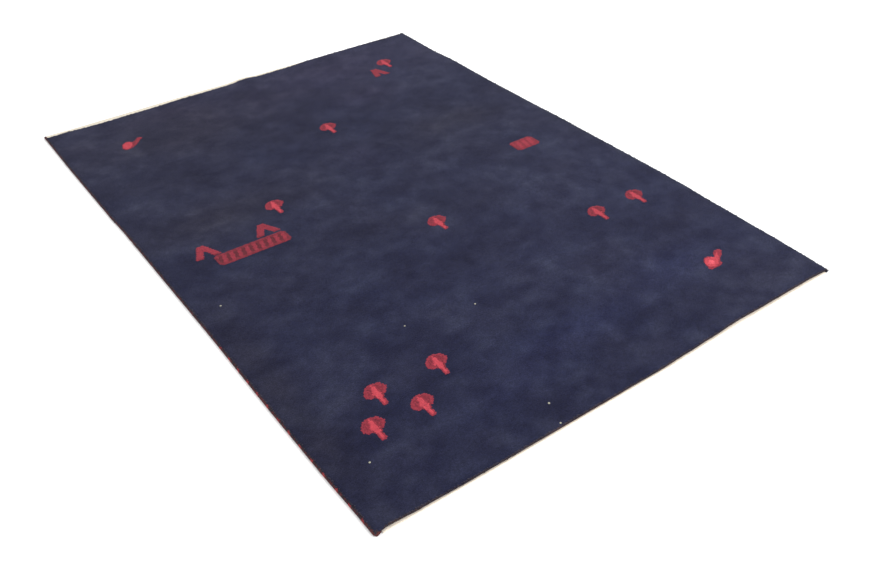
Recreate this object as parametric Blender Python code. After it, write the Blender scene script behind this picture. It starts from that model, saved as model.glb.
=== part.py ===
"""A hand-knotted gabbeh rug that lies flat on the floor.

It has a thick knotted field, an overcast cord down each long side and a narrow
flat-woven strip across each end. Metres, +Z up. +X runs across the rug and +Y along
it, from the near end to the far end. The origin is on the floor, under the middle of
the rug's outline.
"""

import math
from collections import namedtuple

import bpy

MM = 0.001

# Sizes of the whole rug
RUG_WIDTH = 1.460
FIELD_LENGTH = 2.014
FIELD_THICKNESS = 0.012
PIECE_GAP = 0.0003

# The middle of the knotted field, as seen from the origin
FIELD_CENTRE_X = -0.0031
FIELD_CENTRE_Y = -0.0163

# The pile rolls over at its rim
RIM_ROLL = 0.004
RIM_STEPS = (0.0, 0.3, 1.0)

# Overcast side cords
CORD_WIDTH = 0.009
CORD_HEIGHT = 0.0085
CORD_SIDES = 12

# Flat-woven end strips, thinner at their outer edge
STRIP_THICKNESS = 0.003
STRIP_EDGE_THICKNESS = 0.002
STRIP_THINS_AT = 0.8

# Spacing of the mesh lines, and the angle past which an edge stays sharp
COLUMN_PITCH = 0.075
ROW_PITCH = 0.072
SHARP_ANGLE = math.radians(40)

# The old fold along the middle of the rug stands up at the far end and dies out
FOLD_X = 0.012
FOLD_HALF_WIDTH = 0.066
FOLD_HEIGHT = 0.0048
FOLD_START_Y = 0.42
FOLD_STEPS = (-1.0, -0.6, -0.3, 0.0, 0.3, 0.6, 1.0)

# Each outline row is one bend: where it is along the edge, in metres from the middle of
# the field, and how far the edge stands out of a plain rectangle there, in millimetres.
Bend = namedtuple("Bend", "at out")

LEFT_OUTLINE = (
    Bend(-0.96, 0.0),
    Bend(-0.80, 1.9),
    Bend(-0.63, 1.5),
    Bend(-0.22, -2.6),
    Bend(0.12, -2.4),
    Bend(0.31, -2.2),
    Bend(0.42, 0.9),
    Bend(0.77, 2.2),
    Bend(1.00, 1.0),
)
RIGHT_OUTLINE = (
    Bend(-0.99, -14.0),
    Bend(-0.92, -8.8),
    Bend(-0.78, -3.7),
    Bend(-0.62, 1.1),
    Bend(-0.46, 7.6),
    Bend(-0.37, 8.3),
    Bend(0.04, 5.5),
    Bend(0.27, 0.0),
    Bend(0.45, -3.0),
    Bend(0.66, -1.4),
    Bend(0.81, -9.1),
    Bend(1.00, -7.0),
)
NEAR_OUTLINE = (
    Bend(-0.72, -10.0),
    Bend(-0.69, -7.0),
    Bend(-0.61, -3.2),
    Bend(-0.50, -0.4),
    Bend(-0.36, 1.2),
    Bend(-0.20, 1.8),
    Bend(-0.03, 3.0),
    Bend(0.08, 4.6),
    Bend(0.18, 2.0),
    Bend(0.26, -0.3),
    Bend(0.37, -4.4),
    Bend(0.47, -2.8),
    Bend(0.57, -2.4),
    Bend(0.65, -2.2),
    Bend(0.71, 0.4),
)
FAR_OUTLINE = (
    Bend(-0.72, 5.0),
    Bend(-0.65, 5.8),
    Bend(-0.60, 0.5),
    Bend(-0.54, -3.2),
    Bend(-0.37, -3.6),
    Bend(-0.25, -0.7),
    Bend(-0.13, -3.0),
    Bend(0.07, -1.6),
    Bend(0.21, -1.6),
    Bend(0.29, 4.4),
    Bend(0.37, 3.2),
    Bend(0.52, 1.5),
    Bend(0.65, -3.0),
    Bend(0.72, -3.5),
)

# Width of each end strip, from the field's plain end to the strip's outer edge, in
# millimetres
NEAR_STRIP = (
    Bend(-0.71, 1.2),
    Bend(-0.60, 3.0),
    Bend(-0.40, 6.0),
    Bend(-0.20, 7.2),
    Bend(0.00, 8.6),
    Bend(0.10, 9.5),
    Bend(0.20, 8.0),
    Bend(0.35, 5.6),
    Bend(0.55, 6.4),
    Bend(0.71, 7.0),
)
FAR_STRIP = (
    Bend(-0.71, 42.0),
    Bend(-0.60, 39.0),
    Bend(-0.40, 37.5),
    Bend(-0.20, 37.0),
    Bend(0.00, 33.0),
    Bend(0.35, 27.0),
    Bend(0.55, 24.0),
    Bend(0.71, 21.0),
)

# How a side cord ends past the field: how far along, how much wider on the inner side,
# both in millimetres, and how full its section is
CordStep = namedtuple("CordStep", "past wider full")

LEFT_NEAR_END = (
    CordStep(1.0, 0.0, 1.0),
    CordStep(3.2, 7.0, 1.0),
    CordStep(6.0, 11.0, 1.0),
    CordStep(8.5, 10.0, 0.75),
    CordStep(10.0, 7.0, 0.4),
)
RIGHT_NEAR_END = (
    CordStep(2.0, 0.0, 1.0),
    CordStep(5.0, 0.0, 0.75),
    CordStep(6.6, 0.0, 0.4),
)
LEFT_FAR_END = (
    CordStep(12.0, 0.0, 1.0),
    CordStep(24.0, 0.0, 1.0),
    CordStep(29.0, 0.0, 0.75),
    CordStep(31.0, 0.0, 0.4),
)
RIGHT_FAR_END = (
    CordStep(6.0, 0.0, 1.0),
    CordStep(13.0, 0.0, 1.0),
    CordStep(16.5, 0.0, 0.75),
    CordStep(18.5, 0.0, 0.4),
)

FIELD_HALF_WIDTH = RUG_WIDTH / 2 - CORD_WIDTH - PIECE_GAP
FIELD_HALF_LENGTH = FIELD_LENGTH / 2
NEAR_STRIP_LEFT = (
    CORD_WIDTH + MM * max(step.wider for step in LEFT_NEAR_END) + PIECE_GAP - RUG_WIDTH / 2
)


def between(low, value, high):
    """The value, kept between two limits."""
    return max(low, min(value, high))


def smooth_step(share):
    """Goes from 0 to 1 with no corner at either end."""
    share = between(0.0, share, 1.0)
    return share * share * (3 - 2 * share)


def stand_out(outline, at):
    """How far an edge stands out at a place along it, in metres, with rounded bends."""
    if at <= outline[0].at:
        return MM * outline[0].out
    for here, after in zip(outline, outline[1:]):
        if at <= after.at:
            share = smooth_step((at - here.at) / (after.at - here.at))
            return MM * (here.out + share * (after.out - here.out))
    return MM * outline[-1].out


def fold_lift(x, y):
    """How high the old fold holds the rug off the floor."""
    across = abs(x - FOLD_X) / FOLD_HALF_WIDTH
    if across >= 1:
        return 0.0
    along = smooth_step((y - FOLD_START_Y) / (FIELD_HALF_LENGTH - FOLD_START_Y))
    return FOLD_HEIGHT * along * (1 + math.cos(math.pi * across)) / 2


def lay(x, y, height):
    """Takes a point of the plain rectangle to its place on the uneven rug."""
    right_share = between(0.0, 0.5 + x / RUG_WIDTH, 1.0)
    far_share = between(0.0, 0.5 + y / FIELD_LENGTH, 1.0)
    out_right = right_share * stand_out(RIGHT_OUTLINE, y)
    out_left = (1 - right_share) * stand_out(LEFT_OUTLINE, y)
    out_far = far_share * stand_out(FAR_OUTLINE, x)
    out_near = (1 - far_share) * stand_out(NEAR_OUTLINE, x)
    return (
        FIELD_CENTRE_X + x + out_right - out_left,
        FIELD_CENTRE_Y + y + out_far - out_near,
        height + fold_lift(x, y),
    )


def evenly(start, stop, pitch):
    """Places from start to stop, about a pitch apart."""
    count = max(1, round((stop - start) / pitch))
    return [start + (stop - start) * i / count for i in range(count + 1)]


def field_rows():
    """Places of the field's mesh lines along the rug."""
    rim = [RIM_ROLL * step for step in RIM_STEPS[:-1]]
    inner = evenly(RIM_ROLL - FIELD_HALF_LENGTH, FIELD_HALF_LENGTH - RIM_ROLL, ROW_PITCH)
    near = [inset - FIELD_HALF_LENGTH for inset in rim]
    far = [FIELD_HALF_LENGTH - inset for inset in reversed(rim)]
    return near + inner + far


def field_columns():
    """Places of the mesh lines across the rug, closer together at the rim and the fold."""
    rim = [RIM_ROLL * step for step in RIM_STEPS]
    left = [inset - FIELD_HALF_WIDTH for inset in rim] + [NEAR_STRIP_LEFT]
    right = [FIELD_HALF_WIDTH - inset for inset in reversed(rim)]
    fold = [FOLD_X + FOLD_HALF_WIDTH * step for step in FOLD_STEPS]
    return (
        left
        + evenly(NEAR_STRIP_LEFT, fold[0], COLUMN_PITCH)[1:-1]
        + fold
        + evenly(fold[-1], right[0], COLUMN_PITCH)[1:-1]
        + right
    )


def rim_drop(inset):
    """How far the rolled rim of the pile lies under its top."""
    if inset >= RIM_ROLL:
        return 0.0
    return RIM_ROLL - math.sqrt(RIM_ROLL**2 - (RIM_ROLL - inset) ** 2)


def new_material(name, colour, roughness):
    """A plain woollen material."""
    material = bpy.data.materials.new(name)
    material.use_nodes = True
    shader = material.node_tree.nodes["Principled BSDF"]
    shader.inputs["Base Color"].default_value = (*colour, 1.0)
    shader.inputs["Roughness"].default_value = roughness
    shader.inputs["Metallic"].default_value = 0.0
    return material


def new_object(name, points, faces, material):
    """An object made from points and faces, shaded smooth over its round parts."""
    mesh = bpy.data.meshes.new(name)
    mesh.from_pydata(points, [], faces)
    mesh.materials.append(material)
    mesh.shade_smooth()
    mesh.set_sharp_from_angle(angle=SHARP_ANGLE)
    thing = bpy.data.objects.new(name, mesh)
    bpy.context.collection.objects.link(thing)
    return thing


def sheet(name, top, under, material):
    """A closed sheet between two grids of points, each a list of rows from left to right."""
    row_count = len(top)
    width = len(top[0])
    under_start = row_count * width
    points = [point for row in top + under for point in row]
    faces = []
    for i in range(row_count - 1):
        for j in range(width - 1):
            a = i * width + j
            b = a + width
            faces.append((a, a + 1, b + 1, b))
            faces.append((under_start + a, under_start + b, under_start + b + 1, under_start + a + 1))
    near = list(range(width))
    right = [i * width + width - 1 for i in range(row_count)]
    far = [(row_count - 1) * width + j for j in reversed(range(width))]
    left = [i * width for i in reversed(range(row_count))]
    ring = near[:-1] + right[:-1] + far[:-1] + left[:-1]
    for a, b in zip(ring, ring[1:] + ring[:1]):
        faces.append((a, under_start + a, under_start + b, b))
    return new_object(name, points, faces, material)


def make_field(material):
    """The knotted field, rolled over at its rim."""
    top = []
    under = []
    for y in field_rows():
        inset_y = FIELD_HALF_LENGTH - abs(y)
        top_row = []
        for x in field_columns():
            inset_x = FIELD_HALF_WIDTH - abs(x)
            drop = min(RIM_ROLL, math.hypot(rim_drop(inset_x), rim_drop(inset_y)))
            top_row.append(lay(x, y, FIELD_THICKNESS - drop))
        top.append(top_row)
        under.append([lay(x, y, 0.0) for x in field_columns()])
    return sheet("pile_field", top, under, material)


def make_strip(name, end, columns, widths, material):
    """A flat-woven strip across one end, which is 1 at the far end and -1 at the near one."""
    lines = (
        (0.0, STRIP_THICKNESS),
        (STRIP_THINS_AT, STRIP_THICKNESS),
        (1.0, STRIP_EDGE_THICKNESS),
    )
    top = []
    under = []
    for share, height in lines:
        top_row = []
        under_row = []
        for x in columns:
            inner_x, inner_y, lift = lay(x, end * FIELD_HALF_LENGTH, 0.0)
            inner_y += end * PIECE_GAP
            outer_y = FIELD_CENTRE_Y + end * (FIELD_HALF_LENGTH + stand_out(widths, x))
            y = inner_y + share * (outer_y - inner_y)
            top_row.append((inner_x, y, lift + height))
            under_row.append((inner_x, y, lift))
        top.append(top_row)
        under.append(under_row)
    if end < 0:
        top.reverse()
        under.reverse()
    return sheet(name, top, under, material)


def cord_section(side, y, wider, full):
    """The points round a side cord at one place, flattened where it lies on the floor."""
    flat_angle = math.pi / CORD_SIDES
    width = (CORD_WIDTH + wider) * full
    height = CORD_HEIGHT * full
    middle = side * (RUG_WIDTH / 2 - (CORD_WIDTH + wider) / 2)
    section = []
    for k in range(CORD_SIDES):
        angle = flat_angle + 2 * flat_angle * k
        across = side * math.cos(angle) / math.cos(flat_angle)
        rise = (1 + math.sin(angle) / math.cos(flat_angle)) / 2
        section.append(lay(middle + across * width / 2, y, max(0.0, rise * height)))
    return section


def make_cord(name, side, near_end, far_end, material):
    """An overcast side cord, which is -1 on the left side and 1 on the right one."""
    stations = [
        (-FIELD_HALF_LENGTH - MM * step.past, MM * step.wider, step.full)
        for step in reversed(near_end)
    ]
    stations += [(y, 0.0, 1.0) for y in field_rows()]
    stations += [
        (FIELD_HALF_LENGTH + MM * step.past, MM * step.wider, step.full) for step in far_end
    ]
    sections = [cord_section(side, *station) for station in stations]
    points = [point for section in sections for point in section]
    faces = []
    for i in range(len(sections) - 1):
        for k in range(CORD_SIDES):
            a = i * CORD_SIDES + k
            b = i * CORD_SIDES + (k + 1) % CORD_SIDES
            faces.append((a, a + CORD_SIDES, b + CORD_SIDES, b))
    last = len(points) - CORD_SIDES
    faces.append(tuple(range(CORD_SIDES)))
    faces.append(tuple(reversed(range(last, last + CORD_SIDES))))
    if side < 0:
        faces = [tuple(reversed(face)) for face in faces]
    return new_object(name, points, faces, material)


def clear_scene():
    """Removes whatever the file opened with."""
    for thing in list(bpy.data.objects):
        bpy.data.objects.remove(thing, do_unlink=True)


def make_rug():
    """The whole rug."""
    clear_scene()
    navy_wool = new_material("navy_wool", (0.038, 0.040, 0.075), 0.95)
    red_wrap = new_material("red_and_navy_wrap", (0.155, 0.055, 0.060), 0.9)
    dark_wrap = new_material("dark_wrap", (0.035, 0.033, 0.050), 0.9)
    cream_wool = new_material("cream_wool", (0.78, 0.70, 0.55), 0.9)
    make_field(navy_wool)
    make_cord("selvedge_left", -1, LEFT_NEAR_END, LEFT_FAR_END, red_wrap)
    make_cord("selvedge_right", 1, RIGHT_NEAR_END, RIGHT_FAR_END, dark_wrap)
    columns = field_columns()
    near_columns = [x for x in columns if x >= NEAR_STRIP_LEFT]
    make_strip("end_weave_near", -1, near_columns, NEAR_STRIP, cream_wool)
    make_strip("end_weave_far", 1, columns, FAR_STRIP, cream_wool)


make_rug()
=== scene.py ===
"""Looks of a hand-knotted gabbeh rug: wool pile, red motifs, side cords and end weaves.

Metres, +Z up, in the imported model's frame: +X across the rug, +Y along it. Places in the
tables are seen from the middle of the knotted field.
"""

import math
from collections import namedtuple

import bpy
import numpy as np
from mathutils import Matrix


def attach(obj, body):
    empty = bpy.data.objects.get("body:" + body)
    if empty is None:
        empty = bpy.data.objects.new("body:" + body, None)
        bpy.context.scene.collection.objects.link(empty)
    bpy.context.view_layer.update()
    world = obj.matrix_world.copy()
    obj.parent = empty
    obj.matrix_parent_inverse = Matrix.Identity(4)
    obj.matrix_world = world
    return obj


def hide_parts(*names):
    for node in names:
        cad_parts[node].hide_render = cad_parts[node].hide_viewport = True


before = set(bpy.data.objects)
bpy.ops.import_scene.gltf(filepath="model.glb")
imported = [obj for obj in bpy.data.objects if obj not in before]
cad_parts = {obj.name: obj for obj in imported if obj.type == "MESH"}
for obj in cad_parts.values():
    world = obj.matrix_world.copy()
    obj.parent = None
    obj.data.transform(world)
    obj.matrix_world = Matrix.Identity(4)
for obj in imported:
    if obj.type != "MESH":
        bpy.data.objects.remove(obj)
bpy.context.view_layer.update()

MM = 0.001
SEED = 20

# Sizes shared with the solids, in metres
RUG_WIDTH = 1.460
FIELD_LENGTH = 2.014
FIELD_THICKNESS = 0.012
PIECE_GAP = 0.0003
FIELD_CENTRE_X = -0.0031
FIELD_CENTRE_Y = -0.0163
RIM_ROLL = 0.004
CORD_WIDTH = 0.009
CORD_HEIGHT = 0.0085
STRIP_THICKNESS = 0.003
FOLD_X = 0.012
FOLD_HALF_WIDTH = 0.066
FOLD_HEIGHT = 0.0048
FOLD_START_Y = 0.42
FIELD_HALF_WIDTH = RUG_WIDTH / 2 - CORD_WIDTH - PIECE_GAP
FIELD_HALF_LENGTH = FIELD_LENGTH / 2

# How far the pile leans out over its edges, how high it still stands there, and how the
# near corners and the ragged edges differ
SIDE_LIP = 0.0046
NEAR_LIP = 0.0016
FAR_LIP = 0.0030
LIP_HEIGHT = 0.0090
CORNER_LIP = 0.0050
CORNER_SPAN = 0.022
CORNER_RAMP = 0.010
RIGHT_CORNER_SHARE = 0.2
RAGGED_SIDE = 0.35
RAGGED_END = 0.45
RAGGED_ALONG = 0.011
RAGGED_ACROSS = 0.02

# Shares of the rim's width where mesh lines lie
RIM_STEPS = (0.0, 0.04, 0.14, 0.30, 0.52, 0.76)

# Knots and yarns
KNOT = 0.0036
PILE_MESH_PITCH = 0.0083
PILE_RELIEF = 0.0006
RELIEF_LUMP = (0.034, 0.030)
RELIEF_TUFT = (0.011, 0.010)
UNDERSIDE_CLEARANCE = 0.0003
WRAP_PITCH = 0.0036
WARP_PITCH = 0.0019
WEFT_PITCH = 0.0014

# Bends of the outline: where along the edge in metres, and how far out in millimetres
Bend = namedtuple("Bend", "at out")

LEFT_OUTLINE = (
    Bend(-0.96, 0.0),
    Bend(-0.80, 1.9),
    Bend(-0.63, 1.5),
    Bend(-0.22, -2.6),
    Bend(0.12, -2.4),
    Bend(0.31, -2.2),
    Bend(0.42, 0.9),
    Bend(0.77, 2.2),
    Bend(1.00, 1.0),
)
RIGHT_OUTLINE = (
    Bend(-0.99, -14.0),
    Bend(-0.92, -8.8),
    Bend(-0.78, -3.7),
    Bend(-0.62, 1.1),
    Bend(-0.46, 7.6),
    Bend(-0.37, 8.3),
    Bend(0.04, 5.5),
    Bend(0.27, 0.0),
    Bend(0.45, -3.0),
    Bend(0.66, -1.4),
    Bend(0.81, -9.1),
    Bend(1.00, -7.0),
)
NEAR_OUTLINE = (
    Bend(-0.72, -10.0),
    Bend(-0.69, -7.0),
    Bend(-0.61, -3.2),
    Bend(-0.50, -0.4),
    Bend(-0.36, 1.2),
    Bend(-0.20, 1.8),
    Bend(-0.03, 3.0),
    Bend(0.08, 4.6),
    Bend(0.18, 2.0),
    Bend(0.26, -0.3),
    Bend(0.37, -4.4),
    Bend(0.47, -2.8),
    Bend(0.57, -2.4),
    Bend(0.65, -2.2),
    Bend(0.71, 0.4),
)
FAR_OUTLINE = (
    Bend(-0.72, 5.0),
    Bend(-0.65, 5.8),
    Bend(-0.60, 0.5),
    Bend(-0.54, -3.2),
    Bend(-0.37, -3.6),
    Bend(-0.25, -0.7),
    Bend(-0.13, -3.0),
    Bend(0.07, -1.6),
    Bend(0.21, -1.6),
    Bend(0.29, 4.4),
    Bend(0.37, 3.2),
    Bend(0.52, 1.5),
    Bend(0.65, -3.0),
    Bend(0.72, -3.5),
)
NEAR_STRIP = (
    Bend(-0.71, 1.2),
    Bend(-0.60, 3.0),
    Bend(-0.40, 6.0),
    Bend(-0.20, 7.2),
    Bend(0.00, 8.6),
    Bend(0.10, 9.5),
    Bend(0.20, 8.0),
    Bend(0.35, 5.6),
    Bend(0.55, 6.4),
    Bend(0.71, 7.0),
)
FAR_STRIP = (
    Bend(-0.71, 42.0),
    Bend(-0.60, 39.0),
    Bend(-0.40, 37.5),
    Bend(-0.20, 37.0),
    Bend(0.00, 33.0),
    Bend(0.35, 27.0),
    Bend(0.55, 24.0),
    Bend(0.71, 21.0),
)

# How a side cord ends past the field: how far along and how much wider, both in
# millimetres, and how full its section is
CordStep = namedtuple("CordStep", "past wider full")

LEFT_NEAR_END = (
    CordStep(0.0, 0.0, 1.0),
    CordStep(1.0, 0.0, 1.0),
    CordStep(3.2, 7.0, 1.0),
    CordStep(6.0, 11.0, 1.0),
    CordStep(8.5, 10.0, 0.75),
    CordStep(10.0, 7.0, 0.4),
)
RIGHT_NEAR_END = (
    CordStep(0.0, 0.0, 1.0),
    CordStep(2.0, 0.0, 1.0),
    CordStep(5.0, 0.0, 0.75),
    CordStep(6.6, 0.0, 0.4),
)
LEFT_FAR_END = (
    CordStep(0.0, 0.0, 1.0),
    CordStep(24.0, 0.0, 1.0),
    CordStep(29.0, 0.0, 0.75),
    CordStep(31.0, 0.0, 0.4),
)
RIGHT_FAR_END = (
    CordStep(0.0, 0.0, 1.0),
    CordStep(13.0, 0.0, 1.0),
    CordStep(16.5, 0.0, 0.75),
    CordStep(18.5, 0.0, 0.4),
)
NEAR_STRIP_LEFT = (
    CORD_WIDTH + MM * max(step.wider for step in LEFT_NEAR_END) + PIECE_GAP - RUG_WIDTH / 2
)

# The photograph's camera, in metres from the middle of the field, and in degrees
CAMERA_PLACE = (-1.2758, -2.0091, 1.5028)
CAMERA_YAW = 35.555
CAMERA_PITCH = 38.232
CAMERA_ROLL = -1.139
CAMERA_LENS_MM = 37.78
CAMERA_SENSOR_MM = 36.0


def linear(red, green, blue):
    """A colour given as 0 to 255 on screen, as the linear values that a shader takes."""
    shares = np.array((red, green, blue), float) / 255
    return tuple(np.where(shares <= 0.04045, shares / 12.92, ((shares + 0.055) / 1.055) ** 2.4))


NAVY = linear(30.2, 32, 52.6)
PALE_RED = linear(206, 84, 95)
BRIGHT_RED = linear(178, 62, 73)
DEEP_RED = linear(124, 38, 52)
MAROON = linear(64, 22, 30)
CREAM = linear(212, 203, 187)
# The near strip's cream is painted lighter than the far one's, to outweigh the pile's shade on it:
# painted light
NEAR_CREAM_PAINTED_LIGHTER = linear(242, 230, 214)
WEFT_RED = linear(108, 50, 47)
FLECK = linear(150, 148, 132)


# Shape of the rug


def smooth_step(share):
    """Goes from 0 to 1 with no corner at either end."""
    share = np.clip(share, 0.0, 1.0)
    return share * share * (3 - 2 * share)


def stand_out(outline, at):
    """How far an edge stands out at places along it, in metres, with rounded bends."""
    places = np.array([bend.at for bend in outline])
    outs = MM * np.array([bend.out for bend in outline])
    at = np.clip(at, places[0], places[-1])
    i = np.clip(np.searchsorted(places, at, side="right") - 1, 0, len(places) - 2)
    share = smooth_step((at - places[i]) / (places[i + 1] - places[i]))
    return outs[i] + share * (outs[i + 1] - outs[i])


def fold_lift(x, y):
    """How high the old fold holds the rug off the floor."""
    across = np.clip(np.abs(x - FOLD_X) / FOLD_HALF_WIDTH, 0.0, 1.0)
    along = smooth_step((y - FOLD_START_Y) / (FIELD_HALF_LENGTH - FOLD_START_Y))
    return FOLD_HEIGHT * along * (1 + np.cos(np.pi * across)) / 2


def lay(x, y, height):
    """Takes points of the plain rectangle to their places on the uneven rug."""
    x, y, height = np.broadcast_arrays(x, y, height)
    right_share = np.clip(0.5 + x / RUG_WIDTH, 0.0, 1.0)
    far_share = np.clip(0.5 + y / FIELD_LENGTH, 0.0, 1.0)
    out_right = right_share * stand_out(RIGHT_OUTLINE, y)
    out_left = (1 - right_share) * stand_out(LEFT_OUTLINE, y)
    out_far = far_share * stand_out(FAR_OUTLINE, x)
    out_near = (1 - far_share) * stand_out(NEAR_OUTLINE, x)
    return np.stack(
        (
            FIELD_CENTRE_X + x + out_right - out_left,
            FIELD_CENTRE_Y + y + out_far - out_near,
            height + fold_lift(x, y),
        ),
        axis=-1,
    )


# The noise covers a square that reaches this far each way from the middle, in metres
NOISE_REACH = 1.3


def soft_noise(x, y, size_x, size_y, seed):
    """Smooth noise from -1 to 1 with lumps of the given size."""
    across = int(2 * NOISE_REACH / size_x) + 2
    along = int(2 * NOISE_REACH / size_y) + 2
    lattice = np.random.default_rng(seed).uniform(-1, 1, (across + 1, along + 1))
    u = (x + NOISE_REACH) / size_x
    v = (y + NOISE_REACH) / size_y
    i = np.clip(u.astype(int), 0, across - 1)
    j = np.clip(v.astype(int), 0, along - 1)
    s = smooth_step(u - i)
    t = smooth_step(v - j)
    near = lattice[i, j] * (1 - s) + lattice[i + 1, j] * s
    far = lattice[i, j + 1] * (1 - s) + lattice[i + 1, j + 1] * s
    return near * (1 - t) + far * t


def pile_relief(x, y):
    """How far the trodden pile stands above or below its even height."""
    lumps = 0.5 * soft_noise(x, y, *RELIEF_LUMP, SEED + 1)
    tufts = 0.5 * soft_noise(x, y, *RELIEF_TUFT, SEED + 2)
    return PILE_RELIEF * (lumps + tufts)


def rim_share(inset):
    """Goes from 1 at the field's plain edge to 0 where the rolled rim meets the top."""
    return 1 - np.clip(inset, 0.0, RIM_ROLL) / RIM_ROLL


def corner_lean(x, y):
    """How much further the pile leans out over the bound cord ends at the near corners."""
    beside_cord = smooth_step((np.abs(x) - FIELD_HALF_WIDTH + CORNER_SPAN) / CORNER_RAMP)
    share = np.where(x < 0, 1.0, RIGHT_CORNER_SHARE)
    return np.where(y < 0, CORNER_LIP * share * beside_cord, 0.0)


def lean_out(x, y):
    """Where the pile that is rooted at a place ends up, as it leans out over its edges."""
    side = rim_share(FIELD_HALF_WIDTH - np.abs(x))
    end = rim_share(FIELD_HALF_LENGTH - np.abs(y))
    end_lip = np.where(y < 0, NEAR_LIP, FAR_LIP) + corner_lean(x, y)
    ragged_x = 1 + RAGGED_SIDE * soft_noise(x, y, RAGGED_ACROSS, RAGGED_ALONG, SEED + 8)
    ragged_y = 1 + RAGGED_END * soft_noise(x, y, RAGGED_ALONG, RAGGED_ACROSS, SEED + 9)
    return x + np.sign(x) * side * SIDE_LIP * ragged_x, y + np.sign(y) * end * end_lip * ragged_y


def pile_height(x, y):
    """Height of the top of the pile over its underside."""
    side = rim_share(FIELD_HALF_WIDTH - np.abs(x))
    end = rim_share(FIELD_HALF_LENGTH - np.abs(y))
    out = np.minimum(np.hypot(side, end), 1.0)
    round_off = 1 - np.sqrt(1 - out**2)
    return FIELD_THICKNESS - (FIELD_THICKNESS - LIP_HEIGHT) * round_off + pile_relief(x, y)


# Dyes of the field, with painted shade and painted sheen in places


Patch = namedtuple("Patch", "x y wide long tint strength")

# Tints of red, green and blue
BROWNER = (1.14, 1.03, 0.86)
PURPLER = (1.16, 1.00, 1.04)
GREYER = (1.12, 1.12, 1.04)
BLUER = (0.98, 1.02, 1.16)
DARKER = (0.70, 0.72, 0.84)
LIGHTER = (1.26, 1.24, 1.12)
# Lighter and greyer: painted sheen, used along the right edge
PAINTED_SHEEN_GREY = (1.38, 1.36, 0.98)

# How much the unevenness of the dye and of its hue change its red, green and blue, and the
# size of the hue's lumps in metres
SHADE_REACH = (1.0, 1.0, 0.62)
HUE_REACH = (0.035, 0.0, -0.03)
HUE_SIZE = (0.09, 0.07)

# How quickly a patch fades away from its middle
PATCH_FADE = 1.2

# Unevenness of the dye: how strong it is, the size of its lumps in metres, and its seed
DyeNoise = namedtuple("DyeNoise", "strength size_x size_y seed")

DYE_NOISES = (
    DyeNoise(0.10, 0.50, 0.030, SEED + 3),
    DyeNoise(0.26, 0.11, 0.085, SEED + 4),
    DyeNoise(0.33, 0.055, 0.045, SEED + 5),
    DyeNoise(0.30, 0.027, 0.024, SEED + 6),
)

# Painted shade: a dark line in the dye along the old fold, where one slope of the fold is turned away
# from the light
CREASE_X = 0.004
CREASE_HALF_WIDTH = 0.010
CREASE_START_Y = 0.62
CREASE_RAMP = 0.10
CREASE_SHADE_DEPTH = 0.25

# Soft patches of tint: middle and reach in metres, the tint, and how much of it shows in the middle.
# Most are where one batch of dyed wool gives way to the next, or where it is worn; the lighter
# ones at the two right-hand corners and the greyer band along the right edge are painted sheen,
# where the pile catches the light at a low angle.
PATCHES = (
    Patch(-0.35, 0.80, 0.40, 0.22, BROWNER, 0.9),
    Patch(-0.55, 0.90, 0.10, 0.12, DARKER, 0.8),
    Patch(-0.30, 0.94, 0.16, 0.06, PURPLER, 0.6),
    Patch(-0.28, 0.68, 0.10, 0.10, LIGHTER, 0.5),
    Patch(-0.52, 0.68, 0.16, 0.06, DARKER, 0.5),
    Patch(-0.46, 0.45, 0.12, 0.06, LIGHTER, 0.7),
    Patch(-0.20, 0.50, 0.18, 0.16, DARKER, 0.3),
    Patch(-0.45, 0.22, 0.28, 0.09, BROWNER, 0.9),
    Patch(-0.66, 0.08, 0.12, 0.10, DARKER, 0.9),
    # The next two darken a band across the rug's middle
    Patch(-0.40, 0.00, 0.40, 0.05, DARKER, 0.7),
    Patch(0.10, 0.03, 0.14, 0.04, DARKER, 0.9),
    Patch(0.35, 0.88, 0.35, 0.16, PURPLER, 0.7),
    Patch(0.60, 0.92, 0.16, 0.12, LIGHTER, 0.6),
    Patch(0.30, 0.62, 0.14, 0.08, PURPLER, 0.8),
    Patch(0.07, 0.70, 0.08, 0.08, DARKER, 0.9),
    Patch(0.25, 0.47, 0.16, 0.05, DARKER, 0.6),
    Patch(0.42, 0.28, 0.18, 0.08, BROWNER, 1.0),
    Patch(0.05, 0.26, 0.06, 0.10, PURPLER, 0.6),
    Patch(0.32, 0.14, 0.16, 0.08, GREYER, 0.7),
    Patch(-0.05, -0.12, 0.30, 0.10, GREYER, 0.9),
    Patch(0.30, -0.08, 0.10, 0.07, LIGHTER, 0.6),
    Patch(0.14, -0.30, 0.30, 0.06, DARKER, 0.5),
    Patch(-0.25, -0.34, 0.22, 0.08, DARKER, 0.8),
    Patch(-0.55, -0.35, 0.20, 0.12, DARKER, 0.5),
    Patch(-0.69, -0.60, 0.06, 0.40, BROWNER, 1.0),
    Patch(-0.66, -0.75, 0.08, 0.35, DARKER, 0.5),
    Patch(0.10, -0.55, 0.16, 0.08, LIGHTER, 0.8),
    Patch(0.30, -0.62, 0.20, 0.06, LIGHTER, 0.5),
    Patch(-0.26, -0.74, 0.12, 0.07, DARKER, 0.5),
    Patch(0.00, -0.79, 0.22, 0.06, BLUER, 1.0),
    Patch(-0.24, -0.85, 0.16, 0.06, BLUER, 0.6),
    Patch(0.40, -0.75, 0.18, 0.08, BLUER, 0.8),
    Patch(0.60, -0.92, 0.20, 0.12, LIGHTER, 0.7),
    Patch(0.00, 0.52, 0.60, 0.30, DARKER, 0.75),
    Patch(0.10, 0.84, 0.90, 0.22, PURPLER, 0.5),
    Patch(0.00, -0.60, 1.00, 0.55, BLUER, 0.5),
    Patch(0.15, -1.02, 0.90, 0.12, LIGHTER, 0.5),
    Patch(-0.30, -0.95, 0.40, 0.08, DARKER, 0.3),
    # Painted sheen: the right edge lighter and greyer
    Patch(0.74, 0.10, 0.035, 1.20, PAINTED_SHEEN_GREY, 0.9),
    Patch(0.05, 0.66, 0.50, 0.08, DARKER, 0.3),
)


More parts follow.
